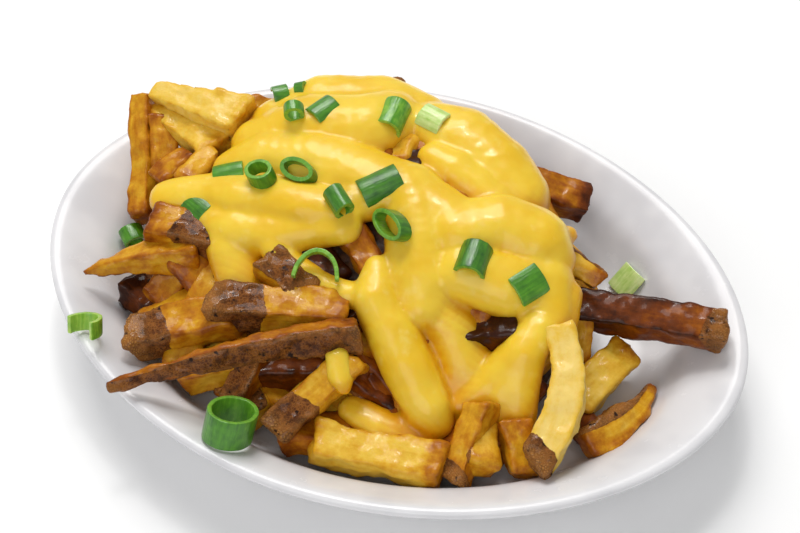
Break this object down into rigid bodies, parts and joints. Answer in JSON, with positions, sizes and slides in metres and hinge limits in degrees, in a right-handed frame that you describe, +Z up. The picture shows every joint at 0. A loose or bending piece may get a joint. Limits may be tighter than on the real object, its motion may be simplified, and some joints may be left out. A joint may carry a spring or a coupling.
{
  "type": "plate of cheese fries",
  "caption": "Hand-cut fries heaped in a white oval dish, covered with poured cheese sauce and scattered with sliced spring onion.",
  "frame": {"origin": "middle of the dish's foot, on the surface that the dish stands on", "axes": "+Z up, +X along the dish's long side towards its bare end, +Y towards the heap's high side"},
  "size_m": [0.22, 0.166, 0.0615],
  "materials": {
    "glazed_dish": "smooth white glaze",
    "fried_potato": "fried potato with brown skin left on, slightly oily",
    "cheese": "thick glossy cheese sauce",
    "spring_onion": "fresh green stalk, pale inside"
  },
  "bodies": {
    "root": {"dish": "glazed_dish", "fries": "fried_potato", "cheese_sauce": "cheese", "cheese_drop": "cheese", "onion_ring_front": "spring_onion", "onion_curl_left": "spring_onion", "onion_left_rear": "spring_onion", "onion_flat_left": "spring_onion", "onion_arc_left": "spring_onion", "onion_ring_left": "spring_onion", "onion_fold": "spring_onion", "onion_ring_small": "spring_onion", "onion_strip_rear": "spring_onion", "onion_dull_rear": "spring_onion", "onion_crumb_rear": "spring_onion", "onion_half_green": "spring_onion", "onion_half_pale": "spring_onion", "onion_tube_middle": "spring_onion", "onion_leaf_strip": "spring_onion", "onion_loop": "spring_onion", "onion_arc_thin": "spring_onion", "onion_striped_tube": "spring_onion", "onion_flat_right": "spring_onion", "onion_right_floor": "spring_onion"}
  },
  "joints": []
}
